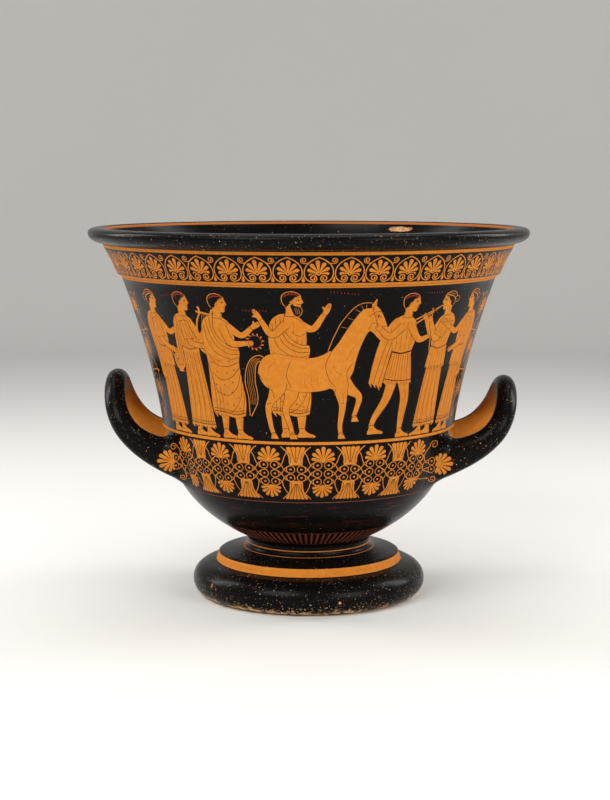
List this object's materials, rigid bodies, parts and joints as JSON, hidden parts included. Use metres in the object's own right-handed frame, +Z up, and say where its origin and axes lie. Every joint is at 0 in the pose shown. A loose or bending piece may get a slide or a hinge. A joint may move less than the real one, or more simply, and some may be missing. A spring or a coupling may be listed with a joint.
{
  "type": "red-figure calyx-krater",
  "caption": "Large flaring two-handled mixing bowl of painted clay on a rolled foot, with upturned loop handles low on its sides.",
  "frame": {"origin": "on the floor under the middle of the foot, which is the middle of the object's box too", "axes": "+Z up along the pot's axis, +X and -X through the two handles, -Y towards the front picture"},
  "size_m": [0.544, 0.544, 0.46],
  "materials": {
    "painted_clay": "fired clay under a smooth black slip gloss, with bright orange reserved figures, bands and lines"
  },
  "bodies": {
    "root": {"krater": "painted_clay"}
  },
  "joints": []
}
